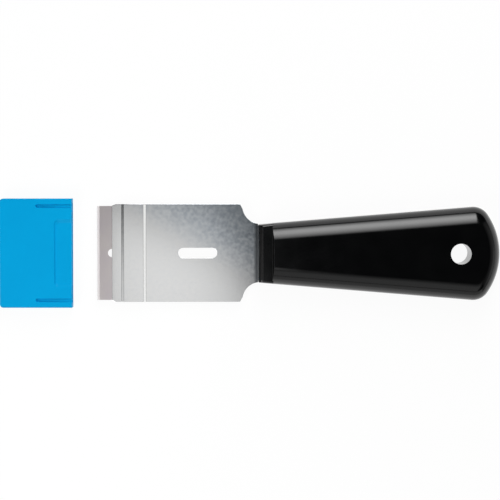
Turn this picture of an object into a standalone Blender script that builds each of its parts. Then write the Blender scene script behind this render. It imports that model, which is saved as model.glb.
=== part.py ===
"""A flat hand scraper that clamps a two-edged blade, with its push-on blade cap taken off.

The scraper lies on its underside. +X runs from the cap to the end of the handle, +Y across
the tool and +Z up. The origin lies under the middle of the set, on the surface it lies on.
"""

import math

import bmesh
import bpy

MM = 0.001

# Clearances
LEAF_GAP = 0.1 * MM             # between the leaves, the blade and the rivets
BUTT_GAP = 0.1 * MM             # between the neck's shoulders and the face of the handle
POCKET_GAP = 0.3 * MM           # between the moulding and the steel inside it
OVERRUN = 2.0 * MM              # how far every cutter runs past what it cuts

# Blade
BLADE_LENGTH = 43.0 * MM
BLADE_WIDTH = 22.0 * MM
BLADE_THICKNESS = 0.3 * MM
BLADE_BEVEL = 1.4 * MM
BLADE_EDGE = 0.05 * MM          # thickness left at the very edge
BLADE_HOLE_LENGTH = 12.0 * MM
BLADE_HOLE_WIDTH = 3.8 * MM
BLADE_REACH = 6.9 * MM          # how far the edge stands out of the head

# Head, two leaves of sheet steel with one outline
SHEET = 0.8 * MM
HEAD_LENGTH = 66.9 * MM         # from the front edge to the face of the handle
HEAD_MARGIN = 0.85 * MM         # how far the head is wider than the blade, each side
CORNER_ALONG = 1.8 * MM         # the front corners are cut off by this much
CORNER_ACROSS = 0.7 * MM
LIP_LENGTH = 4.3 * MM           # flat lip that presses on the blade
RAMP_UP = 1.2 * MM
RAMP_DOWN = 1.35 * MM
BAND_RISE = 0.4 * MM            # the band between the two ramps stands this much above the lip
STOP_OVERLAP = 0.8 * MM         # the rear bevel of the blade lies this far under the rear ramp
SLOT_LENGTH = 18.0 * MM
SLOT_WIDTH = 4.75 * MM
SLOT_TO_HANDLE = 18.75 * MM     # from the rear end of the slot to the face of the handle

# Neck and tang
NECK_RADIUS = 8.2 * MM
NECK_PAST_FACE = 0.9 * MM       # the neck's arc would touch the neck's width this far past the face
SHOULDER_DROP = 2.25 * MM       # the short slope between the side and the arc, across
SHOULDER_RUN = 1.2 * MM         # and along the tool
TANG_LENGTH = 58.0 * MM
TANG_WIDTH = 16.0 * MM
TANG_CORNER = 5.0 * MM

# Rivets of the tang
RIVET_SHANK = 3.0 * MM
RIVET_HEAD = 5.6 * MM
RIVET_HEAD_HEIGHT = 0.7 * MM
RIVET_COUNT = 2
RIVET_FIRST = 16.0 * MM         # from the face of the handle to the first rivet
RIVET_PITCH = 28.0 * MM

# Handle
HANDLE_LENGTH = 109.6 * MM
HANDLE_THICKNESS = 16.5 * MM
HANDLE_FRONT_WIDTH = 26.7 * MM
HANDLE_END_WIDTH = 44.5 * MM    # what the straight sides would reach at the end
HANDLE_END_RADIUS = 31.5 * MM
HANDLE_CORNER = 7.8 * MM
HANDLE_INNER_CORNER = 2.4 * MM  # the same corner on the flat of the handle
HANDLE_END_INSET = 6.2 * MM     # how far the flat stops short of the end
HANDLE_FRONT_INSET = 1.1 * MM   # and of the front of the body
BOLSTER_LENGTH = 6.2 * MM
BOLSTER_LIFT = 0.8 * MM         # its underside stands this much above the underside of the body
BOLSTER_DROP = 3.65 * MM        # and its top lies this much below the top of the body
BOLSTER_EDGE = 2.2 * MM         # rounding of its edges, along the tool
BOLSTER_SIDE_EDGE = 1.0 * MM    # and in from the sides
BOLSTER_CORNER = 0.5 * MM
BOLSTER_INSET = 0.15 * MM       # the bolster is narrower than the body, each side
BOLSTER_JOIN = 0.6 * MM         # how far the bolster runs into the body
HANG_HOLE = 9.6 * MM
HANG_HOLE_TO_END = 18.2 * MM
HANG_HOLE_EDGE = 0.6 * MM

# Cap
CAP_LENGTH = 33.0 * MM
CAP_WALL = 1.7 * MM             # top and bottom walls
CAP_SIDE_WALL = 2.1 * MM
CAP_END_WALL = 1.8 * MM
CAP_PLAY = 0.65 * MM            # between the head and the flat walls
CAP_SIDE_PLAY = 0.45 * MM
CAP_CORNER = 1.6 * MM
CAP_EDGE = 0.7 * MM
CAP_MOUTH_EDGE = 0.25 * MM
CAP_STANDOFF = 11.2 * MM        # from the mouth of the cap, taken off, to the edge of the blade
RIB_HEIGHT = 0.45 * MM          # ribs inside the cap that grip the head
RIB_WIDTH = 1.2 * MM
RIB_TO_WALL = 4.0 * MM
GROOVE_LENGTH = 16.4 * MM
GROOVE_WIDTH = 1.5 * MM
GROOVE_TO_SIDE = 3.4 * MM       # from the middle of a groove to the side of the cap
GROOVE_DEPTH = 1.0 * MM         # at its blind end
GROOVE_MOUTH_DEPTH = 0.5 * MM
THUMB_LENGTH = 7.8 * MM
THUMB_WIDTH = 29.4 * MM
THUMB_CORNER = 1.6 * MM
THUMB_DEPTH = 0.9 * MM          # at its inner wall
THUMB_MOUTH_DEPTH = 0.35 * MM

# Fineness of round forms
ARC_STEPS = 10
EASE_STEPS = 8
SIDE_STEPS = 8
ROUND_STEPS = 40
RIVET_STEPS = 20
SMALL_STEPS = 4
SMOOTH_ANGLE = math.radians(32)

# Places along X
set_length = CAP_LENGTH + CAP_STANDOFF + BLADE_REACH + HEAD_LENGTH + HANDLE_LENGTH
cap_mouth_x = CAP_LENGTH - set_length / 2
blade_edge_x = cap_mouth_x + CAP_STANDOFF
handle_face_x = blade_edge_x + BLADE_REACH + HEAD_LENGTH

# Places along X on the scraper, counted from the face of the handle
front_x = -HEAD_LENGTH
blade_rear_x = front_x - BLADE_REACH + BLADE_WIDTH
ramp_up_x = front_x + LIP_LENGTH
ramp_down_x = blade_rear_x - STOP_OVERLAP
slot_x = -SLOT_TO_HANDLE - SLOT_LENGTH / 2
tang_end_x = TANG_LENGTH
hang_hole_x = HANDLE_LENGTH - HANG_HOLE_TO_END

# Levels
blade_space = BLADE_THICKNESS + LEAF_GAP
head_height = 2 * SHEET + LEAF_GAP + blade_space + BAND_RISE
cap_height = head_height + 2 * (CAP_PLAY + CAP_WALL)
head_low_z = (cap_height - head_height) / 2
blade_low_z = head_low_z + SHEET + LEAF_GAP
tang_height = 2 * SHEET + LEAF_GAP
tang_mid_z = head_low_z + tang_height / 2
handle_mid_z = HANDLE_THICKNESS / 2
bolster_top_z = HANDLE_THICKNESS - BOLSTER_DROP

# Widths
head_width = BLADE_LENGTH + 2 * HEAD_MARGIN
cavity_width = head_width + 2 * CAP_SIDE_PLAY
cap_width = cavity_width + 2 * CAP_SIDE_WALL


def clear_scene():
    for obj in list(bpy.data.objects):
        bpy.data.objects.remove(obj, do_unlink=True)


def make_material(name, color, roughness, metallic):
    material = bpy.data.materials.new(name)
    material.use_nodes = True
    shader = material.node_tree.nodes["Principled BSDF"]
    shader.inputs["Base Color"].default_value = (*color, 1)
    shader.inputs["Roughness"].default_value = roughness
    shader.inputs["Metallic"].default_value = metallic
    material.diffuse_color = (*color, 1)
    return material


def make_object(name, bm):
    """Turn a bmesh into an object whose faces point out."""
    bmesh.ops.recalc_face_normals(bm, faces=bm.faces)
    mesh = bpy.data.meshes.new(name)
    bm.to_mesh(mesh)
    bm.free()
    mesh.shade_smooth()
    mesh.set_sharp_from_angle(angle=SMOOTH_ANGLE)
    obj = bpy.data.objects.new(name, mesh)
    bpy.context.scene.collection.objects.link(obj)
    return obj


def make_guide(name, bm):
    """An object that only shapes another one."""
    obj = make_object(name, bm)
    obj.hide_render = True
    obj.display_type = "WIRE"
    return obj


def combine(target, guide, operation):
    """Cut, join or intersect the target with a guide, which then follows it."""
    guide.parent = target
    modifier = target.modifiers.new(guide.name, "BOOLEAN")
    modifier.operation = operation
    modifier.solver = "EXACT"
    modifier.object = guide


def loft(rings):
    """A closed body through rings that all have the same number of points."""
    bm = bmesh.new()
    loops = [[bm.verts.new(point) for point in ring] for ring in rings]
    for low, high in zip(loops, loops[1:]):
        for i, vert in enumerate(low):
            j = (i + 1) % len(low)
            bm.faces.new((vert, low[j], high[j], high[i]))
    bm.faces.new(loops[0])
    bm.faces.new(loops[-1])
    return bm


def upright_prism(outline, low, high):
    """An outline in X and Y carried from the level low(x) to the level high(x)."""
    bottom = [(x, y, low(x)) for x, y in outline]
    top = [(x, y, high(x)) for x, y in outline]
    return loft([bottom, top])


def level(z):
    """The same level for every x."""
    return lambda x: z


def cross_prism(stations, low, high, half_width):
    """A sheet between the levels low(x) and high(x), carried across Y."""
    profile = [(x, low(x)) for x in stations]
    profile += [(x, high(x)) for x in reversed(stations)]
    return loft([[(x, y, z) for x, z in profile] for y in (-half_width, half_width)])


def turned(profile, steps):
    """A body turned about Z from points of radius and level, listed upwards."""
    angles = [2 * math.pi * i / steps for i in range(steps)]
    rings = [[(r * math.cos(a), r * math.sin(a), z) for a in angles] for r, z in profile]
    return loft(rings)


def arc(center, radius, start, end, steps):
    """Points of an arc, its angles in radians."""
    angles = [start + (end - start) * i / steps for i in range(steps + 1)]
    return [(center[0] + radius * math.cos(a), center[1] + radius * math.sin(a)) for a in angles]


def mirrored(half_outline):
    """Close a half outline, listed from front to rear at +Y, with its mirror image."""
    return half_outline + [(x, -y) for x, y in reversed(half_outline)]


def oblong(center_x, length, width):
    """Outline of a slot with round ends that lies along X."""
    radius = width / 2
    reach = length / 2 - radius
    right = arc((center_x + reach, 0), radius, -math.pi / 2, math.pi / 2, ARC_STEPS)
    left = arc((center_x - reach, 0), radius, math.pi / 2, 3 * math.pi / 2, ARC_STEPS)
    return right + left


def ease(x, start, run):
    """Rises from 0 to 1 over the run, level at both ends."""
    share = min(max((x - start) / run, 0), 1)
    return (1 - math.cos(math.pi * share)) / 2


def spread(start, run, steps):
    return [start + run * i / steps for i in range(steps + 1)]


def upper_low(x):
    """Underside of the upper leaf, which steps over the blade and then lies on the lower leaf."""
    lip = blade_space + BAND_RISE * ease(x, ramp_up_x, RAMP_UP)
    fall = (blade_space + BAND_RISE) * ease(x, ramp_down_x, RAMP_DOWN)
    return head_low_z + SHEET + LEAF_GAP + lip - fall


def upper_high(x):
    return upper_low(x) + SHEET


def tang_end(gap):
    """The rounded end of the tang at +Y, widened by a gap."""
    radius = TANG_CORNER + gap
    center = (tang_end_x - TANG_CORNER, TANG_WIDTH / 2 - TANG_CORNER)
    return arc(center, radius, math.pi / 2, 0, ARC_STEPS)


def leaf_outline():
    """Head, shoulders, neck and tang, the same for both leaves."""
    side = head_width / 2
    center = (NECK_PAST_FACE, HANDLE_FRONT_WIDTH / 2 + NECK_RADIUS)
    start_y = side - SHOULDER_DROP
    start = math.pi + math.asin((center[1] - start_y) / NECK_RADIUS)
    end = 1.5 * math.pi - math.asin((NECK_PAST_FACE + BUTT_GAP) / NECK_RADIUS)
    neck = arc(center, NECK_RADIUS, start, end, ARC_STEPS)
    half = [(front_x, side - CORNER_ACROSS)]
    half.append((front_x + CORNER_ALONG, side))
    half.append((neck[0][0] - SHOULDER_RUN, side))
    half += neck
    half.append((-BUTT_GAP, TANG_WIDTH / 2))
    half += tang_end(0)
    return mirrored(half)


def leaf(name, stations, low, high, steel):
    """Blank a leaf out of a strip, then pierce its slot and its rivet holes."""
    obj = make_object(name, cross_prism(stations, low, high, head_width))
    floor = head_low_z - OVERRUN
    roof = HANDLE_THICKNESS
    blank = upright_prism(leaf_outline(), level(floor), level(roof))
    combine(obj, make_guide(name + "_outline", blank), "INTERSECT")
    slot = upright_prism(oblong(slot_x, SLOT_LENGTH, SLOT_WIDTH), level(floor), level(roof))
    combine(obj, make_guide(name + "_slot", slot), "DIFFERENCE")
    hole_radius = RIVET_SHANK / 2 + LEAF_GAP
    for number, x in enumerate(rivet_places(), start=1):
        hole = turned([(hole_radius, floor), (hole_radius, roof)], RIVET_STEPS)
        guide = make_guide(f"{name}_rivet_hole_{number}", hole)
        guide.location.x = x
        combine(obj, guide, "DIFFERENCE")
    obj.data.materials.append(steel)
    return obj


def rivet_places():
    return [RIVET_FIRST + RIVET_PITCH * i for i in range(RIVET_COUNT)]


def make_lower_leaf(steel):
    stations = [front_x - OVERRUN, tang_end_x + OVERRUN]
    return leaf("lower_leaf", stations, level(head_low_z), level(head_low_z + SHEET), steel)


def make_upper_leaf(steel):
    stations = [front_x - OVERRUN]
    stations += spread(ramp_up_x, RAMP_UP, EASE_STEPS)
    stations += spread(ramp_down_x, RAMP_DOWN, EASE_STEPS)
    stations.append(tang_end_x + OVERRUN)
    return leaf("upper_leaf", stations, upper_low, upper_high, steel)


def rivet_head(seat, side):
    """A domed head that seats at a level; side is 1 above the tang and -1 below it."""
    crown = spread(0, math.pi / 2, SMALL_STEPS)
    points = []
    for angle in crown[:-1]:
        radius = RIVET_HEAD / 2 * math.cos(angle)
        points.append((radius, seat + side * RIVET_HEAD_HEIGHT * math.sin(angle)))
    return points


def make_rivets(steel):
    reach = tang_height / 2 + LEAF_GAP
    shank = RIVET_SHANK / 2
    below = list(reversed(rivet_head(-reach, -1)))
    above = rivet_head(reach, 1)
    profile = below + [(shank, -reach), (shank, reach)] + above
    rivets = []
    for number, x in enumerate(rivet_places(), start=1):
        obj = make_object(f"tang_rivet_{number}", turned(profile, RIVET_STEPS))
        obj.location = (x, 0, tang_mid_z)
        obj.data.materials.append(steel)
        rivets.append(obj)
    return rivets


def handle_outline(start_x, front_inset, side_inset, end_inset, corner):
    """Plan of the handle: straight tapered sides, rounded corners and a shallow round end."""
    slope = (HANDLE_END_WIDTH - HANDLE_FRONT_WIDTH) / 2 / HANDLE_LENGTH
    angle = math.atan(slope)
    side_y = HANDLE_FRONT_WIDTH / 2 - side_inset / math.cos(angle)
    end_radius = HANDLE_END_RADIUS - end_inset
    end_center = HANDLE_LENGTH - HANDLE_END_RADIUS

    # The corner's centre lies one corner radius inside both the side and the end
    base_y = side_y - corner / math.cos(angle)
    span = end_radius - corner
    a = 1 + slope * slope
    b = slope * base_y - end_center
    c = end_center * end_center + base_y * base_y - span * span
    center_x = (-b + math.sqrt(b * b - a * c)) / a
    center = (center_x, base_y + slope * center_x)
    turn = math.atan2(center[1], center[0] - end_center)

    first_x = start_x + front_inset
    half = [(first_x, side_y + slope * first_x)]
    half += arc(center, corner, math.pi / 2 + angle, turn, ARC_STEPS)
    half += arc((end_center, 0), end_radius, turn, 0, SIDE_STEPS)[1:-1]
    tip = [(end_center + end_radius, 0)]
    return half + tip + [(x, -y) for x, y in reversed(half)]


def rounded_slab(outer, inner, mid_z, wall, rounding):
    """A slab whose rim turns from the outer outline to the inner one, above and below."""
    angles = spread(0, math.pi / 2, SIDE_STEPS)
    upper = []
    for a in angles:
        out = math.cos(a)
        z = wall / 2 + rounding * math.sin(a)
        ring = [(i[0] + (o[0] - i[0]) * out, i[1] + (o[1] - i[1]) * out, z) for o, i in zip(outer, inner)]
        upper.append(ring)
    rings = [[(x, y, mid_z - z) for x, y, z in ring] for ring in reversed(upper)]
    if wall == 0:
        rings.pop()
    rings += [[(x, y, mid_z + z) for x, y, z in ring] for ring in upper]
    return loft(rings)


def make_bolster():
    """The flat collar that the tang enters, between the head and the body of the handle."""
    slope = (HANDLE_END_WIDTH - HANDLE_FRONT_WIDTH) / 2 / HANDLE_LENGTH
    end_x = BOLSTER_LENGTH + BOLSTER_JOIN

    def plan(front_inset, side_inset):
        near = HANDLE_FRONT_WIDTH / 2 - BOLSTER_INSET - side_inset
        center = (front_inset + BOLSTER_CORNER, near - BOLSTER_CORNER)
        half = arc(center, BOLSTER_CORNER, math.pi, math.pi / 2, SMALL_STEPS)
        half.append((end_x, near + slope * end_x))
        return mirrored(half)

    mid_z = (BOLSTER_LIFT + bolster_top_z) / 2
    wall = bolster_top_z - BOLSTER_LIFT - 2 * BOLSTER_EDGE
    inner = plan(BOLSTER_EDGE, BOLSTER_SIDE_EDGE)
    return rounded_slab(plan(0, 0), inner, mid_z, wall, BOLSTER_EDGE)


def make_pocket():
    """The space of the tang in the handle, open at the face."""
    half = [(-OVERRUN, TANG_WIDTH / 2 + POCKET_GAP)] + tang_end(POCKET_GAP)
    reach = tang_height / 2 + POCKET_GAP
    return upright_prism(mirrored(half), level(tang_mid_z - reach), level(tang_mid_z + reach))


def make_rivet_recess():
    """Room for one rivet in the moulding."""
    radius = RIVET_HEAD / 2 + POCKET_GAP
    reach = tang_height / 2 + LEAF_GAP + RIVET_HEAD_HEIGHT + POCKET_GAP
    return turned([(radius, -reach), (radius, reach)], RIVET_STEPS)


def make_hang_hole():
    """A cutter that widens at both faces, so the hole gets rounded rims."""
    radius = HANG_HOLE / 2
    half = HANDLE_THICKNESS / 2
    flare = []
    for a in spread(0, math.pi / 2, SIDE_STEPS):
        out = HANG_HOLE_EDGE * (1 - math.cos(a))
        up = HANG_HOLE_EDGE * (1 - math.sin(a))
        flare.append((radius + out, half - up))
    flare.append((flare[-1][0], half + OVERRUN))
    lower = [(r, -z) for r, z in reversed(flare)]
    return turned(lower + flare, ROUND_STEPS)


def make_handle(plastic):
    side_inset = HANDLE_THICKNESS / 2
    outer = handle_outline(BOLSTER_LENGTH, 0, 0, 0, HANDLE_CORNER)
    inner = handle_outline(
        BOLSTER_LENGTH, HANDLE_FRONT_INSET, side_inset, HANDLE_END_INSET, HANDLE_INNER_CORNER
    )
    body = rounded_slab(outer, inner, handle_mid_z, 0, HANDLE_THICKNESS / 2)
    obj = make_object("handle", body)
    combine(obj, make_guide("bolster", make_bolster()), "UNION")
    combine(obj, make_guide("tang_pocket", make_pocket()), "DIFFERENCE")
    for number, x in enumerate(rivet_places(), start=1):
        recess = make_guide(f"rivet_recess_{number}", make_rivet_recess())
        recess.location = (x, 0, tang_mid_z)
        combine(obj, recess, "DIFFERENCE")
    hang_hole = make_guide("hang_hole", make_hang_hole())
    hang_hole.location = (hang_hole_x, 0, handle_mid_z)
    combine(obj, hang_hole, "DIFFERENCE")
    obj.data.materials.append(plastic)
    return obj


def make_blade(steel):
    """A thin blade ground on both long edges, with its origin in its middle."""
    half = BLADE_WIDTH / 2
    mid = BLADE_THICKNESS / 2

    def thickness(x):
        ground = min((half - abs(x)) / BLADE_BEVEL, 1)
        return BLADE_EDGE + (BLADE_THICKNESS - BLADE_EDGE) * ground

    stations = [-half, BLADE_BEVEL - half, half - BLADE_BEVEL, half]
    body = cross_prism(stations, lambda x: -thickness(x) / 2, lambda x: thickness(x) / 2, BLADE_LENGTH / 2)
    obj = make_object("blade", body)
    outline = oblong(0, BLADE_HOLE_LENGTH, BLADE_HOLE_WIDTH)
    hole = upright_prism(outline, level(-OVERRUN), level(OVERRUN))
    combine(obj, make_guide("blade_hole", hole), "DIFFERENCE")
    obj.location = (blade_edge_x + half, 0, blade_low_z + mid)
    obj.data.materials.append(steel)
    return obj


def cap_outline(inset, mouth_inset):
    """Plan of the cap, from its closed end to its mouth at x = 0."""
    radius = CAP_CORNER - inset
    center = (CAP_CORNER - CAP_LENGTH, cap_width / 2 - CAP_CORNER)
    half = arc(center, radius, math.pi, math.pi / 2, ARC_STEPS)
    half.append((-mouth_inset, cap_width / 2 - inset))
    return mirrored(half)


def cavity():
    """The space for the head in the cap, with a pair of grip ribs on its floor and its roof."""
    half = cavity_width / 2
    low = CAP_WALL
    high = cap_height - CAP_WALL
    outer = half - RIB_TO_WALL
    inner = outer - RIB_WIDTH
    floor = [(inner, low), (inner, low + RIB_HEIGHT), (outer, low + RIB_HEIGHT), (outer, low), (half, low)]
    roof = [(y, cap_height - z) for y, z in reversed(floor)]
    right = floor + roof
    left = [(-y, z) for y, z in reversed(right)]
    ends = (CAP_END_WALL - CAP_LENGTH, OVERRUN)
    return loft([[(x, y, z) for y, z in right + left] for x in ends])


def sloping_floor(length, deep, shallow):
    """Level of a recess floor that is deep at its inner end and shallow at the mouth."""
    return lambda x: cap_height - shallow + (deep - shallow) * x / length


def make_thumb_recess():
    """A recess for the thumb, with a wall that is pushed to take the cap off."""
    center = (THUMB_CORNER - THUMB_LENGTH, THUMB_WIDTH / 2 - THUMB_CORNER)
    half = arc(center, THUMB_CORNER, math.pi, math.pi / 2, ARC_STEPS)
    half.append((OVERRUN, THUMB_WIDTH / 2))
    floor = sloping_floor(THUMB_LENGTH, THUMB_DEPTH, THUMB_MOUTH_DEPTH)
    return upright_prism(mirrored(half), floor, level(cap_height + OVERRUN))


def make_groove(y):
    radius = GROOVE_WIDTH / 2
    outline = arc((radius - GROOVE_LENGTH, y), radius, math.pi / 2, 1.5 * math.pi, ARC_STEPS)
    outline += [(OVERRUN, y - radius), (OVERRUN, y + radius)]
    floor = sloping_floor(GROOVE_LENGTH, GROOVE_DEPTH, GROOVE_MOUTH_DEPTH)
    return upright_prism(outline, floor, level(cap_height + OVERRUN))


def make_cap(plastic):
    """The cap, with its origin at the foot of its mouth."""
    wall = cap_height - 2 * CAP_EDGE
    outer = cap_outline(0, 0)
    inner = cap_outline(CAP_EDGE, CAP_MOUTH_EDGE)
    obj = make_object("cap", rounded_slab(outer, inner, cap_height / 2, wall, CAP_EDGE))
    combine(obj, make_guide("cap_cavity", cavity()), "DIFFERENCE")
    combine(obj, make_guide("thumb_recess", make_thumb_recess()), "DIFFERENCE")
    groove_y = cap_width / 2 - GROOVE_TO_SIDE
    for name, y in (("groove_left", groove_y), ("groove_right", -groove_y)):
        combine(obj, make_guide(name, make_groove(y)), "DIFFERENCE")
    obj.location.x = cap_mouth_x
    obj.data.materials.append(plastic)
    return obj


def main():
    clear_scene()
    sheet_steel = make_material("sheet_steel", (0.55, 0.55, 0.54), 0.32, 1.0)
    blade_steel = make_material("blade_steel", (0.40, 0.38, 0.38), 0.38, 1.0)
    rivet_steel = make_material("rivet_steel", (0.50, 0.50, 0.50), 0.40, 1.0)
    black_plastic = make_material("black_plastic", (0.008, 0.008, 0.009), 0.25, 0.0)
    blue_plastic = make_material("blue_plastic", (0.001, 0.33, 0.67), 0.42, 0.0)

    scraper = bpy.data.objects.new("scraper", None)
    bpy.context.scene.collection.objects.link(scraper)
    scraper.location.x = handle_face_x
    fixed = [make_handle(black_plastic), make_lower_leaf(sheet_steel), make_upper_leaf(sheet_steel)]
    fixed += make_rivets(rivet_steel)
    for obj in fixed:
        obj.parent = scraper

    make_blade(blade_steel)
    make_cap(blue_plastic)


main()
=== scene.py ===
"""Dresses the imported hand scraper: fine surfaces, finishes, floor, light and camera.

The frame's own axes hold here: +X from the cap to the end of the handle, +Y across, +Z up. The
near side is -Y, which is low in the picture, and the far side is +Y.
"""

import math
from typing import NamedTuple

import bmesh
import bpy
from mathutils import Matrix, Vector


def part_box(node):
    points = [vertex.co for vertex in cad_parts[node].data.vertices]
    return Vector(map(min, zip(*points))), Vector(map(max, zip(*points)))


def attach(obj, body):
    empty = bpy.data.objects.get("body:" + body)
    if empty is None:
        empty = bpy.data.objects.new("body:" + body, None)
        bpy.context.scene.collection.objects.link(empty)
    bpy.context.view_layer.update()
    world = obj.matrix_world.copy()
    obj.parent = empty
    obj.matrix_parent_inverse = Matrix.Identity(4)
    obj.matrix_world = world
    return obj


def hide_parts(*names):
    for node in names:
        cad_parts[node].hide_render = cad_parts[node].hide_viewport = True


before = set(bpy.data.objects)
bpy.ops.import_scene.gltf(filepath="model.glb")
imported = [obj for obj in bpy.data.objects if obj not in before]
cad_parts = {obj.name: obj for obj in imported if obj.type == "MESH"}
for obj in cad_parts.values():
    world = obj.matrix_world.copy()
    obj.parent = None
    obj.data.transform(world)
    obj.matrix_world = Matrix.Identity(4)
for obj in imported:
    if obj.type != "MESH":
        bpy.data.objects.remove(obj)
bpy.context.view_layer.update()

MM = 0.001

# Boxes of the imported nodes, which every finer piece keeps to
handle_low, handle_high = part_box("handle")
leaf_low, leaf_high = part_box("upper_leaf")
lower_leaf_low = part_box("lower_leaf")[0]
blade_low, blade_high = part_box("blade")
cap_low, cap_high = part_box("cap")

# Clearances, as in the solids
LEAF_GAP = 0.1 * MM             # between the leaves, the blade and the rivets
BUTT_GAP = 0.1 * MM             # between the neck's shoulders and the face of the handle
POCKET_GAP = 0.3 * MM           # between the moulding and the steel inside it
OVERRUN = 2.0 * MM              # how far every cutter runs past what it cuts

# Blade
BLADE_BEVEL = 1.4 * MM
BLADE_EDGE = 0.05 * MM          # thickness left at the very edge
BLADE_HOLE_LENGTH = 12.0 * MM
BLADE_HOLE_WIDTH = 3.8 * MM

# Head
SHEET = 0.8 * MM
SHEET_EDGE = 0.12 * MM          # rounding of the blanked edges
SHEET_EDGE_STEPS = 2
CORNER_ALONG = 1.8 * MM         # the front corners are cut off by this much
CORNER_ACROSS = 0.7 * MM
LIP_LENGTH = 4.3 * MM           # flat lip that presses on the blade
RAMP_UP = 1.2 * MM
RAMP_DOWN = 1.35 * MM
RAMP_BEND_SHARE = 0.15          # of a ramp's run that each of its two bends takes
BAND_RISE = 0.4 * MM            # the band between the two ramps stands this much above the lip
STOP_OVERLAP = 0.8 * MM         # the rear bevel of the blade lies this far under the rear ramp
RAMP_HIGHLIGHT_EDGE = 0.2 * MM         # the painted highlight on the rear ramp fades in over this much
SLOT_LENGTH = 18.0 * MM
SLOT_WIDTH = 4.75 * MM
SLOT_TO_HANDLE = 18.75 * MM     # from the rear end of the slot to the face of the handle

# Neck and tang
NECK_RADIUS = 8.2 * MM
NECK_PAST_FACE = 0.9 * MM       # the neck's arc would touch the neck's width this far past the face
SHOULDER_DROP = 2.25 * MM       # the short slope between the side and the arc, across
SHOULDER_RUN = 1.2 * MM         # and along the tool
TANG_WIDTH = 16.0 * MM
NECK_ROOT = 0.4 * MM            # the neck reaches this far into the moulding, so no gap shows
NECK_ROOT_WIDTH = 25.2 * MM
TANG_CORNER = 5.0 * MM

# Rivets of the tang
RIVET_SHANK = 3.0 * MM
RIVET_HEAD = 5.6 * MM
RIVET_HEAD_HEIGHT = 0.7 * MM
RIVET_COUNT = 2
RIVET_FIRST = 16.0 * MM         # from the face of the handle to the first rivet
RIVET_PITCH = 28.0 * MM

# Handle
HANDLE_FRONT_WIDTH = 26.7 * MM
HANDLE_END_WIDTH = 44.5 * MM    # what the straight sides would reach at the end
HANDLE_END_RADIUS = 31.5 * MM
HANDLE_CORNER = 7.8 * MM
HANDLE_INNER_CORNER = 2.4 * MM  # the same corner on the flat of the handle
HANDLE_END_INSET = 6.2 * MM     # how far the flat stops short of the end
HANDLE_FRONT_INSET = 1.1 * MM   # and of the front of the body
BOLSTER_LENGTH = 6.2 * MM
BOLSTER_LIFT = 0.8 * MM         # its underside stands this much above the underside of the body
BOLSTER_DROP = 3.65 * MM        # and its top lies this much below the top of the body
BOLSTER_EDGE = 2.2 * MM         # rounding of its edges, along the tool
BOLSTER_SIDE_EDGE = 1.0 * MM    # and in from the sides
BOLSTER_CORNER = 0.5 * MM
BOLSTER_INSET = 0.15 * MM       # the bolster is narrower than the body, each side
BOLSTER_JOIN = 0.6 * MM         # how far the bolster runs into the body
HANG_HOLE = 9.3 * MM
HANG_HOLE_TO_END = 18.2 * MM
HANG_HOLE_EDGE = 0.04 * MM
SEAM_DEPTH = 0.05 * MM          # witness line of the mould round the handle
SEAM_HALF_WIDTH = 0.12 * MM

# Cap
CAP_WALL = 1.7 * MM
CAP_SIDE_WALL = 2.1 * MM
CAP_END_WALL = 1.8 * MM
CAP_CORNER = 1.6 * MM
CAP_EDGE = 0.7 * MM
CAP_MOUTH_EDGE = 0.25 * MM
RIB_HEIGHT = 0.45 * MM          # ribs inside the cap that grip the head
RIB_WIDTH = 1.2 * MM
RIB_TO_WALL = 4.0 * MM
GROOVE_LENGTH = 16.4 * MM
GROOVE_WIDTH = 1.5 * MM
GROOVE_TO_SIDE = 3.4 * MM       # from the middle of a groove to the side of the cap
GROOVE_DEPTH = 1.0 * MM         # at its blind end
GROOVE_MOUTH_DEPTH = 0.5 * MM
GROOVE_EDGE = 0.15 * MM         # rounding of the grooves' rims
THUMB_LENGTH = 7.8 * MM
THUMB_WIDTH = 29.4 * MM
THUMB_CORNER = 1.6 * MM
THUMB_DEPTH = 0.9 * MM          # at its inner wall
THUMB_MOUTH_DEPTH = 0.35 * MM
THUMB_WALL = 0.9 * MM           # run of the recess's inner wall
THUMB_SIDE_RUN = 2.6            # how many times longer the walls at its sides run

# Fineness
ARC_STEPS = 24
EASE_STEPS = 20
RIM_STEPS = 24
ROUND_STEPS = 96
RIVET_STEPS = 32
WALL_STEPS = 10
SMALL_STEPS = 8
SHARP_ANGLE = math.radians(28)
EDGE_ANGLE = math.radians(50)

# Lengths and places worked out from the boxes
handle_length = handle_high.x - handle_low.x
handle_thickness = handle_high.z - handle_low.z
handle_face_x = handle_low.x
handle_mid_z = (handle_low.z + handle_high.z) / 2
front_x = leaf_low.x - handle_face_x
tang_end_x = leaf_high.x - handle_face_x
head_width = leaf_high.y - leaf_low.y
head_low_z = lower_leaf_low.z
blade_length = blade_high.y - blade_low.y
blade_width = blade_high.x - blade_low.x
blade_thickness = blade_high.z - blade_low.z
blade_rear_x = blade_high.x - handle_face_x
ramp_up_x = front_x + LIP_LENGTH
ramp_down_x = blade_rear_x - STOP_OVERLAP
slot_x = -SLOT_TO_HANDLE - SLOT_LENGTH / 2
hang_hole_x = handle_length - HANG_HOLE_TO_END
side_slope = (HANDLE_END_WIDTH - HANDLE_FRONT_WIDTH) / 2 / handle_length
blade_space = blade_thickness + LEAF_GAP
tang_height = 2 * SHEET + LEAF_GAP
tang_mid_z = head_low_z + tang_height / 2
bolster_top_z = handle_thickness - BOLSTER_DROP
cap_length = cap_high.x - cap_low.x
cap_width = cap_high.y - cap_low.y
cap_height = cap_high.z - cap_low.z


# Shapes
def new_object(name, bm, place=(0, 0, 0)):
    bmesh.ops.recalc_face_normals(bm, faces=bm.faces)
    mesh = bpy.data.meshes.new(name)
    bm.to_mesh(mesh)
    bm.free()
    obj = bpy.data.objects.new(name, mesh)
    obj.location = place
    bpy.context.scene.collection.objects.link(obj)
    return obj


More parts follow.
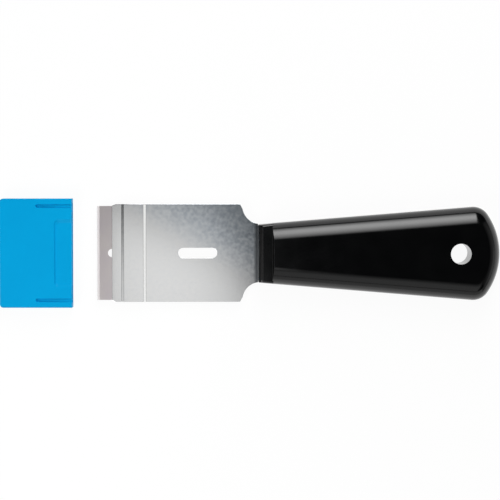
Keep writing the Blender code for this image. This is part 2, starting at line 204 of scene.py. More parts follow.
def combine(target, guide, operation):
    modifier = target.modifiers.new(guide.name, "BOOLEAN")
    modifier.operation = operation
    modifier.solver = "EXACT"
    modifier.object = guide


def settle(obj, guides):
    """Keep the shape that the modifiers give as the object's own mesh, and drop its guides."""
    bpy.context.view_layer.update()
    depsgraph = bpy.context.evaluated_depsgraph_get()
    obj.data = bpy.data.meshes.new_from_object(obj.evaluated_get(depsgraph))
    obj.data.name = obj.name
    obj.modifiers.clear()
    for guide in guides:
        bpy.data.objects.remove(guide, do_unlink=True)


def soften(obj, width=0, segments=0):
    """Round the sharp edges, then shade smooth with the flats kept flat."""
    if width:
        bevel = obj.modifiers.new("edges", "BEVEL")
        bevel.width = width
        bevel.segments = segments
        bevel.limit_method = "ANGLE"
        bevel.angle_limit = EDGE_ANGLE
        settle(obj, [])
    obj.data.shade_smooth()
    obj.data.set_sharp_from_angle(angle=SHARP_ANGLE)
    weighted = obj.modifiers.new("normals", "WEIGHTED_NORMAL")
    weighted.keep_sharp = True
    weighted.weight = 100


def loft(rings):
    """A closed body through rings that all have the same number of points."""
    bm = bmesh.new()
    loops = [[bm.verts.new(point) for point in ring] for ring in rings]
    for low, high in zip(loops, loops[1:]):
        for i, vert in enumerate(low):
            j = (i + 1) % len(low)
            bm.faces.new((vert, low[j], high[j], high[i]))
    bm.faces.new(loops[0])
    bm.faces.new(loops[-1])
    return bm


def upright_prism(outline, low, high):
    """An outline in X and Y carried from the level low(x) to the level high(x)."""
    bottom = [(x, y, low(x)) for x, y in outline]
    top = [(x, y, high(x)) for x, y in outline]
    return loft([bottom, top])


def level(z):
    return lambda x: z


def cross_prism(stations, low, high, half_width):
    """A strip across the tool whose section along it lies between the levels low(x) and high(x)."""
    profile = [(x, low(x)) for x in stations]
    profile += [(x, high(x)) for x in reversed(stations)]
    return loft([[(x, y, z) for x, z in profile] for y in (-half_width, half_width)])


def turned(profile, steps):
    angles = [2 * math.pi * i / steps for i in range(steps)]
    return loft([[(r * math.cos(a), r * math.sin(a), z) for a in angles] for r, z in profile])


def arc(center, radius, start, end, steps):
    angles = [start + (end - start) * i / steps for i in range(steps + 1)]
    return [(center[0] + radius * math.cos(a), center[1] + radius * math.sin(a)) for a in angles]


def mirrored(half_outline):
    return half_outline + [(x, -y) for x, y in reversed(half_outline)]


def oblong(center_x, length, width):
    """The outline of a hole with round ends."""
    radius = width / 2
    reach = length / 2 - radius
    right = arc((center_x + reach, 0), radius, -math.pi / 2, math.pi / 2, ARC_STEPS)
    left = arc((center_x - reach, 0), radius, math.pi / 2, 3 * math.pi / 2, ARC_STEPS)
    return right + left


def ease(x, start, run):
    """Rises from 0 to 1 in one smooth curve."""
    share = min(max((x - start) / run, 0), 1)
    return (1 - math.cos(math.pi * share)) / 2


def spread(start, run, steps):
    """Evenly spaced values, from start to the end of the run."""
    return [start + run * i / steps for i in range(steps + 1)]


def pressed(x, start, run):
    """Rises from 0 to 1 in a straight slope between two short bends."""
    share = min(max((x - start) / run, 0), 1)
    near = min(share, 1 - share)
    slope = 1 / (1 - RAMP_BEND_SHARE)
    if near < RAMP_BEND_SHARE:
        rise = slope * near * near / RAMP_BEND_SHARE / 2
    else:
        rise = slope * (near - RAMP_BEND_SHARE / 2)
    return rise if share == near else 1 - rise


# Levels of the upper leaf, which steps over the blade and then lies on the lower leaf
def upper_low(x):
    lip = blade_space + BAND_RISE * pressed(x, ramp_up_x, RAMP_UP)
    fall = (blade_space + BAND_RISE) * pressed(x, ramp_down_x, RAMP_DOWN)
    return head_low_z + SHEET + LEAF_GAP + lip - fall


def upper_high(x):
    return upper_low(x) + SHEET


def rivet_places():
    return [RIVET_FIRST + RIVET_PITCH * i for i in range(RIVET_COUNT)]


def tang_end(gap):
    radius = TANG_CORNER + gap
    center = (tang_end_x - TANG_CORNER, TANG_WIDTH / 2 - TANG_CORNER)
    return arc(center, radius, math.pi / 2, 0, ARC_STEPS)


def leaf_outline():
    """Head, neck and tang from above, counted from the face of the handle."""
    side = head_width / 2
    center = (NECK_PAST_FACE, HANDLE_FRONT_WIDTH / 2 + NECK_RADIUS)
    start_y = side - SHOULDER_DROP
    start = math.pi + math.asin((center[1] - start_y) / NECK_RADIUS)
    end = 1.5 * math.pi - math.asin((NECK_PAST_FACE + BUTT_GAP) / NECK_RADIUS)
    neck = arc(center, NECK_RADIUS, start, end, ARC_STEPS)
    half = [(front_x, side - CORNER_ACROSS)]
    half.append((front_x + CORNER_ALONG, side))
    half.append((neck[0][0] - SHOULDER_RUN, side))
    half += neck
    half.append((-BUTT_GAP, NECK_ROOT_WIDTH / 2))
    half.append((NECK_ROOT, NECK_ROOT_WIDTH / 2))
    half.append((NECK_ROOT, TANG_WIDTH / 2))
    half += tang_end(0)
    return mirrored(half)


def make_leaf(name, stations, low, high):
    """A leaf blanked out of a strip, with its slot, its rivet holes and soft blanked edges."""
    place = (handle_face_x, 0, 0)
    obj = new_object(name, cross_prism(stations, low, high, head_width), place)
    floor = head_low_z - OVERRUN
    roof = handle_thickness
    guides = [new_object("blank", upright_prism(leaf_outline(), level(floor), level(roof)), place)]
    combine(obj, guides[0], "INTERSECT")
    slot = upright_prism(oblong(slot_x, SLOT_LENGTH, SLOT_WIDTH), level(floor), level(roof))
    guides.append(new_object("slot", slot, place))
    hole_radius = RIVET_SHANK / 2 + LEAF_GAP
    for x in rivet_places():
        hole = turned([(hole_radius, floor), (hole_radius, roof)], RIVET_STEPS)
        guides.append(new_object("rivet_hole", hole, (handle_face_x + x, 0, 0)))
    for guide in guides[1:]:
        combine(obj, guide, "DIFFERENCE")
    settle(obj, guides)
    soften(obj, SHEET_EDGE, SHEET_EDGE_STEPS)
    return obj


def make_lower_leaf():
    stations = [front_x - OVERRUN, tang_end_x + OVERRUN]
    return make_leaf("lower_sheet", stations, level(head_low_z), level(head_low_z + SHEET))


def make_upper_leaf():
    stations = [front_x - OVERRUN]
    stations += spread(ramp_up_x, RAMP_UP, EASE_STEPS)
    stations += spread(ramp_down_x, RAMP_DOWN, EASE_STEPS)
    stations.append(tang_end_x + OVERRUN)
    return make_leaf("upper_sheet", stations, upper_low, upper_high)


def handle_outline(start_x, front_inset, side_inset, end_inset, corner):
    """The body from above, drawn in by insets: straight sides, corners and a round end."""
    angle = math.atan(side_slope)
    side_y = HANDLE_FRONT_WIDTH / 2 - side_inset / math.cos(angle)
    end_radius = HANDLE_END_RADIUS - end_inset
    end_center = handle_length - HANDLE_END_RADIUS
    base_y = side_y - corner / math.cos(angle)
    span = end_radius - corner
    a = 1 + side_slope * side_slope
    b = side_slope * base_y - end_center
    c = end_center * end_center + base_y * base_y - span * span
    center_x = (-b + math.sqrt(b * b - a * c)) / a
    center = (center_x, base_y + side_slope * center_x)
    turn = math.atan2(center[1], center[0] - end_center)
    first_x = start_x + front_inset
    half = [(first_x, side_y + side_slope * first_x)]
    half += arc(center, corner, math.pi / 2 + angle, turn, ARC_STEPS)
    half += arc((end_center, 0), end_radius, turn, 0, ARC_STEPS)[1:-1]
    tip = [(end_center + end_radius, 0)]
    return half + tip + [(x, -y) for x, y in reversed(half)]


def between(outer, inner, share):
    """The ring that lies a share of the way from the outer outline to the inner one."""
    return [(o[0] + (i[0] - o[0]) * share, o[1] + (i[1] - o[1]) * share) for o, i in zip(outer, inner)]


def rounded_slab(outer, inner, mid_z, wall, rounding, seam_share=0):
    """A slab whose rim turns from the outer outline to the inner one, above and below.

    The rim starts at both edges of an upright wall, or at one middle ring where there is none. A
    seam share cuts a fine groove round the middle, that share of the way to the inner outline.
    """
    upper = []
    for a in spread(0, math.pi / 2, RIM_STEPS):
        z = wall / 2 + rounding * math.sin(a)
        upper.append((between(outer, inner, 1 - math.cos(a)), z))
    if seam_share:
        seam_edge = math.asin(SEAM_HALF_WIDTH / rounding)
        upper[0] = (between(outer, inner, 1 - math.cos(seam_edge)), rounding * math.sin(seam_edge))
        upper.insert(0, (between(outer, inner, seam_share), 0))
    lower = upper[:0:-1] if wall == 0 else upper[::-1]
    rings = [[(x, y, mid_z - z) for x, y in ring] for ring, z in lower]
    rings += [[(x, y, mid_z + z) for x, y in ring] for ring, z in upper]
    return loft(rings)


def make_bolster():
    """The low block at the front of the handle, which widens with the body behind it."""
    end_x = BOLSTER_LENGTH + BOLSTER_JOIN

    def plan(front_inset, side_inset):
        near = HANDLE_FRONT_WIDTH / 2 - BOLSTER_INSET - side_inset
        center = (front_inset + BOLSTER_CORNER, near - BOLSTER_CORNER)
        half = arc(center, BOLSTER_CORNER, math.pi, math.pi / 2, SMALL_STEPS)
        half.append((end_x, near + side_slope * end_x))
        return mirrored(half)

    mid_z = (BOLSTER_LIFT + bolster_top_z) / 2
    wall = bolster_top_z - BOLSTER_LIFT - 2 * BOLSTER_EDGE
    inner = plan(BOLSTER_EDGE, BOLSTER_SIDE_EDGE)
    return rounded_slab(plan(0, 0), inner, mid_z, wall, BOLSTER_EDGE)


def make_pocket():
    """The space for the tang in the moulding."""
    half = [(-OVERRUN, TANG_WIDTH / 2 + POCKET_GAP)] + tang_end(POCKET_GAP)
    reach = tang_height / 2 + POCKET_GAP
    return upright_prism(mirrored(half), level(tang_mid_z - reach), level(tang_mid_z + reach))


def make_rivet_recess():
    radius = RIVET_HEAD / 2 + POCKET_GAP
    reach = tang_height / 2 + LEAF_GAP + RIVET_HEAD_HEIGHT + POCKET_GAP
    return turned([(radius, -reach), (radius, reach)], RIVET_STEPS)


def make_hang_hole():
    """A cutter for the hang hole, flared at both rims."""
    radius = HANG_HOLE / 2
    half = handle_thickness / 2
    flare = []
    for a in spread(0, math.pi / 2, SMALL_STEPS):
        out = HANG_HOLE_EDGE * (1 - math.cos(a))
        up = HANG_HOLE_EDGE * (1 - math.sin(a))
        flare.append((radius + out, half - up))
    flare.append((flare[-1][0], half + OVERRUN))
    lower = [(r, -z) for r, z in reversed(flare)]
    return turned(lower + flare, ROUND_STEPS)


def make_handle():
    place = (handle_face_x, 0, 0)
    side_inset = handle_thickness / 2
    outer = handle_outline(BOLSTER_LENGTH, 0, 0, 0, HANDLE_CORNER)
    inner = handle_outline(
        BOLSTER_LENGTH, HANDLE_FRONT_INSET, side_inset, HANDLE_END_INSET, HANDLE_INNER_CORNER
    )
    seam_share = SEAM_DEPTH / side_inset
    body = rounded_slab(outer, inner, handle_mid_z, 0, handle_thickness / 2, seam_share)
    obj = new_object("handle_moulding", body, place)
    bolster = new_object("bolster", make_bolster(), place)
    combine(obj, bolster, "UNION")
    guides = [new_object("tang_pocket", make_pocket(), place)]
    for x in rivet_places():
        recess_place = (handle_face_x + x, 0, tang_mid_z)
        guides.append(new_object("rivet_recess", make_rivet_recess(), recess_place))
    hole_place = (handle_face_x + hang_hole_x, 0, handle_mid_z)
    guides.append(new_object("hang_hole", make_hang_hole(), hole_place))
    for guide in guides:
        combine(obj, guide, "DIFFERENCE")
    settle(obj, guides + [bolster])
    soften(obj)
    return obj


def make_blade():
    half = blade_width / 2

    def thickness(x):
        ground = min((half - abs(x)) / BLADE_BEVEL, 1)
        return BLADE_EDGE + (blade_thickness - BLADE_EDGE) * ground

    stations = [-half, BLADE_BEVEL - half, half - BLADE_BEVEL, half]
    body = cross_prism(stations, lambda x: -thickness(x) / 2, lambda x: thickness(x) / 2, blade_length / 2)
    place = (blade_low + blade_high) / 2
    obj = new_object("scraper_blade", body, place)
    outline = oblong(0, BLADE_HOLE_LENGTH, BLADE_HOLE_WIDTH)
    hole = new_object("blade_hole", upright_prism(outline, level(-OVERRUN), level(OVERRUN)), place)
    combine(obj, hole, "DIFFERENCE")
    settle(obj, [hole])
    soften(obj)
    return obj


def cap_outline(inset, mouth_inset):
    radius = CAP_CORNER - inset
    center = (CAP_CORNER - cap_length, cap_width / 2 - CAP_CORNER)
    half = arc(center, radius, math.pi, math.pi / 2, ARC_STEPS)
    half.append((-mouth_inset, cap_width / 2 - inset))
    return mirrored(half)


def cavity():
    """The space for the head in the cap, with a pair of grip ribs on its floor and its roof."""
    half = cap_width / 2 - CAP_SIDE_WALL
    low = CAP_WALL
    high = cap_height - CAP_WALL
    outer = half - RIB_TO_WALL
    inner = outer - RIB_WIDTH
    floor = [(inner, low), (inner, low + RIB_HEIGHT), (outer, low + RIB_HEIGHT), (outer, low), (half, low)]
    roof = [(y, cap_height - z) for y, z in reversed(floor)]
    right = floor + roof
    left = [(-y, z) for y, z in reversed(right)]
    ends = (CAP_END_WALL - cap_length, OVERRUN)
    return loft([[(x, y, z) for y, z in right + left] for x in ends])


def recess(outline_at, depth_at, run, steps):
    """A cutter for the top of the cap, with a wall that eases from the face down to its floor."""
    rings = [[(x, y, cap_height + OVERRUN) for x, y in outline_at(run / 2)]]
    for share in spread(0, 1, steps):
        drop = ease(share, 0, 1)
        outline = outline_at(run * (1 / 2 - share))
        rings.append([(x, y, cap_height - depth_at(x) * drop) for x, y in outline])
    return loft(rings)


def sloping(length, deep, shallow):
    """Depth of a floor that is deep at its inner end and shallow at the mouth."""
    return lambda x: shallow - (deep - shallow) * x / length


def thumb_outline(grow):
    center = (THUMB_CORNER - THUMB_LENGTH, THUMB_WIDTH / 2 - THUMB_CORNER)
    side = THUMB_SIDE_RUN * grow
    half = []
    for x, y in arc((0, 0), 1, math.pi, math.pi / 2, ARC_STEPS):
        half.append((center[0] + (THUMB_CORNER + grow) * x, center[1] + (THUMB_CORNER + side) * y))
    half.append((OVERRUN, THUMB_WIDTH / 2 + side))
    return mirrored(half)


def groove_outline(y):
    def outline(grow):
        radius = GROOVE_WIDTH / 2 + grow
        center = (GROOVE_WIDTH / 2 - GROOVE_LENGTH, y)
        points = arc(center, radius, math.pi / 2, 1.5 * math.pi, ARC_STEPS)
        return points + [(OVERRUN, y - radius), (OVERRUN, y + radius)]
    return outline


def make_cap():
    place = (cap_high.x, 0, 0)
    wall = cap_height - 2 * CAP_EDGE
    inner = cap_outline(CAP_EDGE, CAP_MOUTH_EDGE)
    slab = rounded_slab(cap_outline(0, 0), inner, cap_height / 2, wall, CAP_EDGE)
    obj = new_object("cap_moulding", slab, place)
    thumb_depth = sloping(THUMB_LENGTH, THUMB_DEPTH, THUMB_MOUTH_DEPTH)
    groove_depth = sloping(GROOVE_LENGTH, GROOVE_DEPTH, GROOVE_MOUTH_DEPTH)
    guides = [new_object("cavity", cavity(), place)]
    thumb = recess(thumb_outline, thumb_depth, THUMB_WALL, WALL_STEPS)
    guides.append(new_object("thumb", thumb, place))
    groove_y = cap_width / 2 - GROOVE_TO_SIDE
    for y in (groove_y, -groove_y):
        cutter = recess(groove_outline(y), groove_depth, GROOVE_EDGE, SMALL_STEPS)
        guides.append(new_object("groove", cutter, place))
    for guide in guides:
        combine(obj, guide, "DIFFERENCE")
    settle(obj, guides)
    soften(obj)
    return obj


# Colours of the finishes
BLACK = (0.001, 0.001, 0.0011)
SHEET_COLOR = (0.62, 0.62, 0.615)
PLAIN_DARK = (0.595, 0.598, 0.60)
PLAIN_LIGHT = (0.645, 0.645, 0.64)
SPANGLE_DARK = (0.525, 0.56, 0.60)
SPANGLE_LIGHT = (0.685, 0.715, 0.74)
# painted shade: the colour of the plate right in front of the handle's face
PAINTED_NECK_SHADE = (0.20, 0.21, 0.22)
# painted highlight: the rear ramp's colour, lifted nearly to white so it shows as a bright line
PAINTED_RAMP_HIGHLIGHT = (0.95, 0.95, 0.94)
BLADE_COLOR = (0.66, 0.61, 0.615)
BLADE_DARK = (0.645, 0.59, 0.605)
BLADE_LIGHT = (0.68, 0.63, 0.62)
GROUND_EDGE = (0.85, 0.84, 0.84)
RIVET_COLOR = (0.55, 0.55, 0.55)
BLUE = (0.001, 0.33, 0.66)
BLUE_DARK = (0.001, 0.323, 0.65)
BLUE_LIGHT = (0.001, 0.337, 0.67)

# Sizes of the marks in the finishes, and the heights of their relief
HAZE_SIZE = 9 * MM
WAVE_SIZE = 5 * MM
WAVE_HEIGHT = 0.012 * MM
GLOSS_GRAIN = 0.25 * MM
GLOSS_GRAIN_HEIGHT = 0.0005 * MM
MOTTLE_SIZE = 1.8 * MM
DENT_SIZE = 2.6 * MM
DENT_HEIGHT = 0.004 * MM
ROLLED_GRAIN = 0.12 * MM
ROLLED_GRAIN_STRETCH = (14, 1, 1)
ROLLED_GRAIN_HEIGHT = 0.0003 * MM
CLOUD_SIZE = 9 * MM
BLADE_GRAIN = 0.1 * MM
BLADE_GRAIN_STRETCH = (1, 30, 1)
BLADE_GRAIN_HEIGHT = 0.0005 * MM
RIVET_SPOT = 0.8 * MM
RIVET_SPOT_HEIGHT = 0.004 * MM
TONE_SIZE = 12 * MM
SATIN_SPARK = 0.35 * MM
SATIN_SPARK_HEIGHT = 0.0025 * MM

# The spangle grows towards the rear far corner of the plate, and a painted shade darkens the plate towards
# the face of the handle
SPANGLE_WAY = (0.5, 0.87, 0)
SPANGLE_START = -14 * MM
SPANGLE_END = -1 * MM
NECK_SHADE_WAY = (1, 0, 0)
NECK_SHADE_START = -2.2 * MM
NECK_SHADE_END = -0.9 * MM


def math_output(tree, operation, first, second):
    """The result of an operation on one output and on a second one or a number."""
    node = tree.nodes.new("ShaderNodeMath")
    node.operation = operation
    tree.links.new(first, node.inputs[0])
    if isinstance(second, (int, float)):
        node.inputs[1].default_value = second
    else:
        tree.links.new(second, node.inputs[1])
    return node.outputs[0]


class Finish:
    """A material with its node tree at hand, in the object's own coordinates."""

    def __init__(self, name, color, roughness, metallic):
        self.material = bpy.data.materials.new(name)
        self.material.use_nodes = True
        self.material.diffuse_color = (*color, 1)
        self.tree = self.material.node_tree
        self.nodes = self.tree.nodes
        self.links = self.tree.links
        self.shader = self.nodes["Principled BSDF"]
        self.set("Base Color", (*color, 1))
        self.set("Roughness", roughness)
        self.set("Metallic", metallic)
        self.place = self.nodes.new("ShaderNodeTexCoord").outputs["Object"]

    def set(self, socket, value):
        self.shader.inputs[socket].default_value = value

    def noise(self, size, detail, stretch=(1, 1, 1)):
        """Noise from 0 to 1 whose features are about one size across, longer where stretched."""
        mapping = self.nodes.new("ShaderNodeMapping")
        mapping.inputs["Scale"].default_value = [1 / (size * s) for s in stretch]
        self.links.new(self.place, mapping.inputs["Vector"])
        texture = self.nodes.new("ShaderNodeTexNoise")
        texture.inputs["Scale"].default_value = 1
        texture.inputs["Detail"].default_value = detail
        self.links.new(mapping.outputs["Vector"], texture.inputs["Vector"])
        return texture.outputs["Fac"]

    def across(self, axis, start, end, middle=0):
        """Goes from 0 to 1 as the distance from the middle, along one axis, goes from start to end."""
        split = self.nodes.new("ShaderNodeSeparateXYZ")
        self.links.new(self.place, split.inputs[0])
        offset = math_output(self.tree, "SUBTRACT", split.outputs[axis], middle)
        distance = math_output(self.tree, "ABSOLUTE", offset, 0)
        return self.remap(distance, 0, 1, start, end)

    def along(self, direction, start, end):
        """Goes from 0 to 1 as the distance along a direction from the origin goes from start to end."""
        distance = self.nodes.new("ShaderNodeVectorMath")
        distance.operation = "DOT_PRODUCT"
        distance.inputs[1].default_value = direction
        self.links.new(self.place, distance.inputs[0])
        return self.remap(distance.outputs["Value"], 0, 1, start, end)

    def between(self, share, first, second):
        """A value that goes from the first source to the second, a number, with the share."""
        node = self.nodes.new("ShaderNodeMapRange")
        self.links.new(share, node.inputs["Value"])
        self.links.new(first, node.inputs["To Min"])
        node.inputs["To Max"].default_value = second
        return node.outputs["Result"]

    def remap(self, source, low, high, start=0.3, end=0.7):
        """A value that goes from low to high as the source, noise by default, goes from start to end."""
        node = self.nodes.new("ShaderNodeMapRange")
        node.inputs["From Min"].default_value = start
        node.inputs["From Max"].default_value = end
        node.inputs["To Min"].default_value = low
        node.inputs["To Max"].default_value = high
        self.links.new(source, node.inputs["Value"])
        return node.outputs["Result"]

    def blend(self, share, first, second):
        """A colour that goes from the first to the second with the share."""
        node = self.nodes.new("ShaderNodeMix")
        node.data_type = "RGBA"
        self.links.new(share, node.inputs["Factor"])
        for socket, color in (("A", first), ("B", second)):
            target = next(i for i in node.inputs if i.name == socket and i.type == "RGBA")
            if isinstance(color, tuple):
                target.default_value = (*color, 1)
            else:
                self.links.new(color, target)
        return next(o for o in node.outputs if o.type == "RGBA")

    def drive(self, socket, source):
        self.links.new(source, self.shader.inputs[socket])

    def bump(self, heights):
        """Relief from pairs of a noise and its height in metres, one over the other."""
        normal = None
        for source, height in heights:
            node = self.nodes.new("ShaderNodeBump")
            node.inputs["Strength"].default_value = 1
            node.inputs["Distance"].default_value = height
            self.links.new(source, node.inputs["Height"])
            if normal:
                self.links.new(normal, node.inputs["Normal"])
            normal = node.outputs["Normal"]
        self.links.new(normal, self.shader.inputs["Normal"])


def black_plastic():
    """Glossy black with a faint haze, and the slight waves and fine grain of a moulding."""
    finish = Finish("gloss_black_plastic", BLACK, roughness=0.14, metallic=0)
    haze = finish.noise(HAZE_SIZE, detail=4)
    finish.drive("Roughness", finish.remap(haze, 0.12, 0.17))
    waves = finish.noise(WAVE_SIZE, detail=1)
    grain = finish.noise(GLOSS_GRAIN, detail=2)
    finish.bump([(waves, WAVE_HEIGHT), (grain, GLOSS_GRAIN_HEIGHT)])
    return finish.material


def sheet_steel(name, ramp_highlight_painted):
    """Bright rolled sheet, spangled towards one corner, with shade painted dark at the neck and, on the
    pressed leaf, a highlight painted on the rear ramp.
    """
    finish = Finish(name, SHEET_COLOR, roughness=0.15, metallic=1)
    mottle = finish.noise(MOTTLE_SIZE, detail=3)
    plain = finish.blend(finish.remap(mottle, 0, 1), PLAIN_DARK, PLAIN_LIGHT)
    crisp_mottle = finish.remap(mottle, 0, 1, start=0.35, end=0.65)
    spangled = finish.blend(crisp_mottle, SPANGLE_DARK, SPANGLE_LIGHT)
    spangle = finish.along(SPANGLE_WAY, SPANGLE_START, SPANGLE_END)
    color = finish.blend(spangle, plain, spangled)
    # painted shade: the plate is darkened where it runs in under the front of the handle
    neck_shade = finish.along(NECK_SHADE_WAY, NECK_SHADE_START, NECK_SHADE_END)
    color = finish.blend(neck_shade, color, PAINTED_NECK_SHADE)
    roughness = finish.remap(mottle, 0.135, 0.165)
    if ramp_highlight_painted:
        # painted highlight: the rear ramp is coloured nearly white to stand in for the bright line its
        # slope reflects
        half = RAMP_DOWN / 2
        ramp_highlight = finish.across("X", half, half - RAMP_HIGHLIGHT_EDGE, ramp_down_x + half)
        color = finish.blend(ramp_highlight, color, PAINTED_RAMP_HIGHLIGHT)
        roughness = finish.between(ramp_highlight, roughness, 0.24)
    finish.drive("Base Color", color)
    finish.drive("Roughness", roughness)
    grain = finish.noise(ROLLED_GRAIN, 2, ROLLED_GRAIN_STRETCH)
    dents = finish.noise(DENT_SIZE, detail=2)
    finish.bump([(dents, DENT_HEIGHT), (grain, ROLLED_GRAIN_HEIGHT)])
    return finish.material


def blade_steel():
    """Satin steel whose two ground edges are brighter, towards the very edge."""
    finish = Finish("blade_steel", BLADE_COLOR, roughness=0.3, metallic=1)
    cloud = finish.noise(CLOUD_SIZE, detail=2)
    face = finish.blend(finish.remap(cloud, 0, 1), BLADE_DARK, BLADE_LIGHT)
    ground = finish.across("X", blade_width / 2 - BLADE_BEVEL, blade_width / 2)
    finish.drive("Base Color", finish.blend(ground, face, GROUND_EDGE))
    finish.drive("Roughness", finish.remap(ground, 0.3, 0.75, start=0, end=0.5))
    grain = finish.noise(BLADE_GRAIN, 2, BLADE_GRAIN_STRETCH)
    finish.bump([(grain, BLADE_GRAIN_HEIGHT)])
    return finish.material


def rivet_steel():
    finish = Finish("rivet_steel", RIVET_COLOR, roughness=0.35, metallic=1)
    spots = finish.noise(RIVET_SPOT, detail=3)
    finish.drive("Roughness", finish.remap(spots, 0.3, 0.42))
    finish.bump([(spots, RIVET_SPOT_HEIGHT)])
    return finish.material


def blue_plastic():
    """Satin blue with hardly any shine."""
    finish = Finish("satin_blue_plastic", BLUE, roughness=0.45, metallic=0)
    finish.set("Specular IOR Level", 0.03)
    tone = finish.noise(TONE_SIZE, detail=3)
    finish.drive("Base Color", finish.blend(finish.remap(tone, 0, 1), BLUE_DARK, BLUE_LIGHT))
    spark = finish.noise(SATIN_SPARK, detail=2)
    finish.drive("Roughness", finish.remap(spark, 0.34, 0.42))
    finish.bump([(spark, SATIN_SPARK_HEIGHT)])
    return finish.material


# Floor
FLOOR_SIZE = 6.0
FLOOR_GLOW_SHARE = 0.94        # share of the floor's white that no shadow reaches
FLOOR_COLOR = (0.95, 0.95, 0.95)
FLOOR_ROUGHNESS = 0.9


def make_floor():
    """A pale floor that looks white to the camera and in mirrors, and still takes shadows."""
    half = FLOOR_SIZE / 2
    corners = [(-half, -half, 0), (half, -half, 0), (half, half, 0), (-half, half, 0)]
    bm = bmesh.new()
    bm.faces.new([bm.verts.new(corner) for corner in corners])
    floor = new_object("floor", bm)
    material = bpy.data.materials.new("pale_floor")
    material.use_nodes = True
    tree = material.node_tree
    plain = tree.nodes["Principled BSDF"]
    plain.inputs["Base Color"].default_value = (*FLOOR_COLOR, 1)
    plain.inputs["Roughness"].default_value = FLOOR_ROUGHNESS
    plain.inputs["Specular IOR Level"].default_value = 0
    white = tree.nodes.new("ShaderNodeEmission")
    white.inputs["Strength"].default_value = 1
    path = tree.nodes.new("ShaderNodeLightPath")
    seen = math_output(tree, "ADD", path.outputs["Is Camera Ray"], path.outputs["Is Glossy Ray"])
    seen = math_output(tree, "ADD", seen, path.outputs["Is Transmission Ray"])
    seen.node.use_clamp = True
    share = math_output(tree, "MULTIPLY", seen, FLOOR_GLOW_SHARE)
    mix = tree.nodes.new("ShaderNodeMixShader")
    tree.links.new(share, mix.inputs[0])
    tree.links.new(plain.outputs[0], mix.inputs[1])
    tree.links.new(white.outputs[0], mix.inputs[2])
    tree.links.new(mix.outputs[0], tree.nodes["Material Output"].inputs["Surface"])
    floor.data.materials.append(material)


# Light
class Panel(NamedTuple):
    """A soft panel that faces its target, with all its lengths in metres.

    Its edges are how far the light takes to fade in from the left, right, low and high side, seen
    from behind. A further fade goes from its first point on the panel, where a share of the light
    is left, to its second one, where the light is full. Points count from the panel's middle.
    """

    middle: tuple
    target: tuple
    size: tuple
    radiance: float
    edges: tuple
    fades: tuple = ()
    color: tuple = (1, 1, 1)


# Panels that overlap lie at heights of their own
PANELS = {
    # draws the bright line along the top of the handle
    "key_panel": Panel(
        middle=(0.055, 0.4376, 0.4381),
        target=(0.055, 0, 0.066),
        size=(0.34, 0.94),
        radiance=7.1,
        edges=(0.04, 0.06, 0.33, 0.47),
    ),
    # lights the cap from its near side, so that no haze lies on the blue
    "cap_panel": Panel(
        middle=(-0.31, -0.32, 0.42),
        target=(-0.31, -0.32, 0),
        size=(0.3, 0.4),
        radiance=7.2,
        edges=(0.1, 0.05, 0.05, 0.05),
    ),
    # is mirrored by the plate, which darkens towards its rear far corner
    "head_panel": Panel(
        middle=(-0.06, -0.05, 0.40),
        target=(-0.06, -0.05, 0),
        size=(0.15, 0.22),
        radiance=1.2,
        edges=(0.04, 0.001, 0.03, 0.03),
        fades=(
            ((0.0594, 0.041), (0.0418, 0.0342), 0),
            ((0.060, 0), (0.026, 0), 0.85),
            ((-0.05, 0), (0, 0), 0.9),
            ((0, -0.05), (0, 0.02), 0.8),
            ((0.0588, 0.0475), (0.044, 0.0161), 0.23),
        ),
    ),
    # gives that corner its cool tint
    "cool_panel": Panel(
        middle=(-0.0225, 0, 0.41),
        target=(-0.0225, 0, 0),
        size=(0.105, 0.10),
        radiance=0.18,
        edges=(0.045, 0.045, 0.001, 0.03),
        fades=(((0.0065, -0.0199), (0.0213, 0.0115), 0),),
        color=(0.90, 1, 1.08),
    ),
    # is mirrored by the rear ramp of the head
    "ramp_panel": Panel(
        middle=(0.0115, -0.01, 0.090),
        target=(-0.9545, -0.01, 0.349),
        size=(0.14, 0.15),
        radiance=0.6,
        edges=(0.03, 0.03, 0.001, 0.08),
    ),
    # fill from the cap's end, from the handle's end, from the near side and from low down
    "left_panel": Panel(
        middle=(-0.52, -0.29, 0.43),
        target=(-0.52, -0.29, 0),
        size=(0.44, 0.61),
        radiance=0.92,
        edges=(0.04, 0.08, 0.04, 0.06),
    ),
    "right_panel": Panel(
        middle=(0.75, 0, 0.42),
        target=(0, 0, 0),
        size=(0.9, 0.90),
        radiance=0.36,
        edges=(0.2, 0.2, 0.001, 0.6),
    ),
    "fill_panel": Panel(
        middle=(0.08, -0.45, 0.44),
        target=(0.08, -0.45, 0),
        size=(0.6, 0.74),
        radiance=0.6,
        edges=(0.1, 0.1, 0.1, 0.2),
    ),
    "end_panel": Panel(
        middle=(0.85, -0.40, 0.22),
        target=(0.1, 0, 0.1),
        size=(1.1, 0.36),
        radiance=0.3,
        edges=(0.1, 0.1, 0.02, 0.02),
    ),
    "low_panel": Panel(
        middle=(0.1, -0.9, 0.23),
        target=(0.1, 0, 0),
        size=(1.6, 0.46),
        radiance=0.6,
        edges=(0.2, 0.2, 0.001, 0.05),
    ),
    # are mirrored by the plate where it is seen from the handle's end or from its near corner
    "beyond_panel": Panel(
        middle=(-1.0, 0, 0.47),
        target=(0, 0, 0.1),
        size=(1.2, 0.5),
        radiance=0.2,
        edges=(0.2, 0.2, 0.1, 0.1),
    ),
    "far_corner_panel": Panel(
        middle=(-0.62, 0.62, 0.62),
        target=(0, 0, 0),
        size=(0.7, 0.5),
        radiance=0.25,
        edges=(0.15, 0.15, 0.1, 0.1),
    ),
}

WORLD_COLOR = (0.80, 0.92, 1.0)
WORLD_STRENGTH = 0.025


def edge_fades(size, edges):
    x = size[0] / 2
    y = size[1] / 2
    left, right, low, high = edges
    fades = [((-x, 0), (left - x, 0), 0), ((x, 0), (x - right, 0), 0)]
    return fades + [((0, -y), (0, low - y), 0), ((0, y), (0, y - high), 0)]


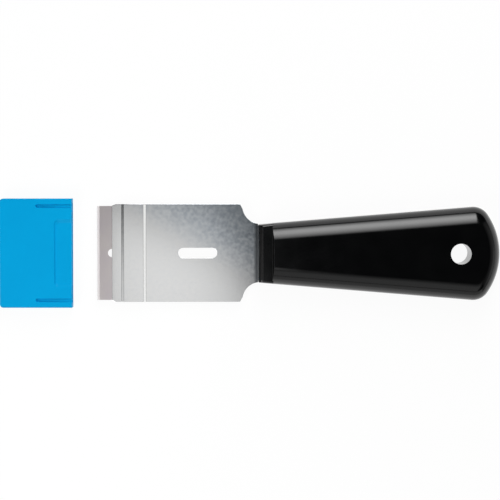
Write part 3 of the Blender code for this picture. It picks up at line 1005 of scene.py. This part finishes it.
def fade_output(tree, place, size, fade):
    """How much light a fade leaves at each point of a panel."""
    dark, full, left_over = fade
    run = (full[0] - dark[0], full[1] - dark[1])
    along = tree.nodes.new("ShaderNodeVectorMath")
    along.operation = "DOT_PRODUCT"
    along.inputs[1].default_value = (run[0] * size[0], run[1] * size[1], 0)
    tree.links.new(place, along.inputs[0])
    start, end = (
        run[0] * (point[0] + size[0] / 2) + run[1] * (point[1] + size[1] / 2) for point in (dark, full)
    )
    ramp = tree.nodes.new("ShaderNodeMapRange")
    ramp.inputs["From Min"].default_value = start
    ramp.inputs["From Max"].default_value = end
    ramp.inputs["To Min"].default_value = left_over
    tree.links.new(along.outputs["Value"], ramp.inputs["Value"])
    return ramp.outputs[0]


def make_panel(name, panel):
    lamp = bpy.data.lights.new(name, "AREA")
    lamp.shape = "RECTANGLE"
    lamp.size, lamp.size_y = panel.size
    lamp.energy = panel.radiance * math.pi * panel.size[0] * panel.size[1]
    lamp.color = panel.color
    lamp.use_nodes = True
    tree = lamp.node_tree
    place = tree.nodes.new("ShaderNodeNewGeometry").outputs["Parametric"]
    strength = None
    for fade in edge_fades(panel.size, panel.edges) + list(panel.fades):
        passed = fade_output(tree, place, panel.size, fade)
        strength = math_output(tree, "MULTIPLY", strength, passed) if strength else passed
    tree.links.new(strength, tree.nodes["Emission"].inputs["Strength"])
    obj = bpy.data.objects.new(name, lamp)
    obj.location = panel.middle
    facing = Vector(panel.target) - Vector(panel.middle)
    obj.rotation_euler = facing.to_track_quat("-Z", "Y").to_euler()
    bpy.context.scene.collection.objects.link(obj)


def make_light():
    for name, panel in PANELS.items():
        make_panel(name, panel)
    world = bpy.data.worlds.new("dim_studio")
    world.use_nodes = True
    sky = world.node_tree.nodes["Background"]
    sky.inputs["Color"].default_value = (*WORLD_COLOR, 1)
    sky.inputs["Strength"].default_value = WORLD_STRENGTH
    bpy.context.scene.world = world


# Camera
CAMERA_PLACE = (0.0004, 0.0341, 0.829)
CAMERA_TILT = math.radians(-2.271)
CAMERA_LENS = 130              # in millimetres, like the sensor
CAMERA_SENSOR = 36


def make_camera():
    camera = bpy.data.cameras.new("camera")
    camera.sensor_width = CAMERA_SENSOR
    camera.lens = CAMERA_LENS
    obj = bpy.data.objects.new("camera", camera)
    obj.location = CAMERA_PLACE
    obj.rotation_euler = (CAMERA_TILT, 0, 0)
    bpy.context.scene.collection.objects.link(obj)
    bpy.context.scene.camera = obj


# Pieces on their bodies
def dress(piece, material, body, node):
    piece.data.materials.clear()
    piece.data.materials.append(material)
    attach(piece, body)
    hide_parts(node)


def main():
    dress(make_handle(), black_plastic(), "scraper", "handle")
    lower_steel = sheet_steel("rolled_sheet_steel", False)
    upper_steel = sheet_steel("pressed_sheet_steel", True)
    dress(make_lower_leaf(), lower_steel, "scraper", "lower_leaf")
    dress(make_upper_leaf(), upper_steel, "scraper", "upper_leaf")
    dress(make_blade(), blade_steel(), "blade", "blade")
    dress(make_cap(), blue_plastic(), "cap", "cap")
    rivets = rivet_steel()
    for name in ("tang_rivet_1", "tang_rivet_2"):
        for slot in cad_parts[name].material_slots:
            slot.material = rivets
    make_floor()
    make_light()
    make_camera()
    bpy.context.scene.view_settings.view_transform = "Standard"


main()
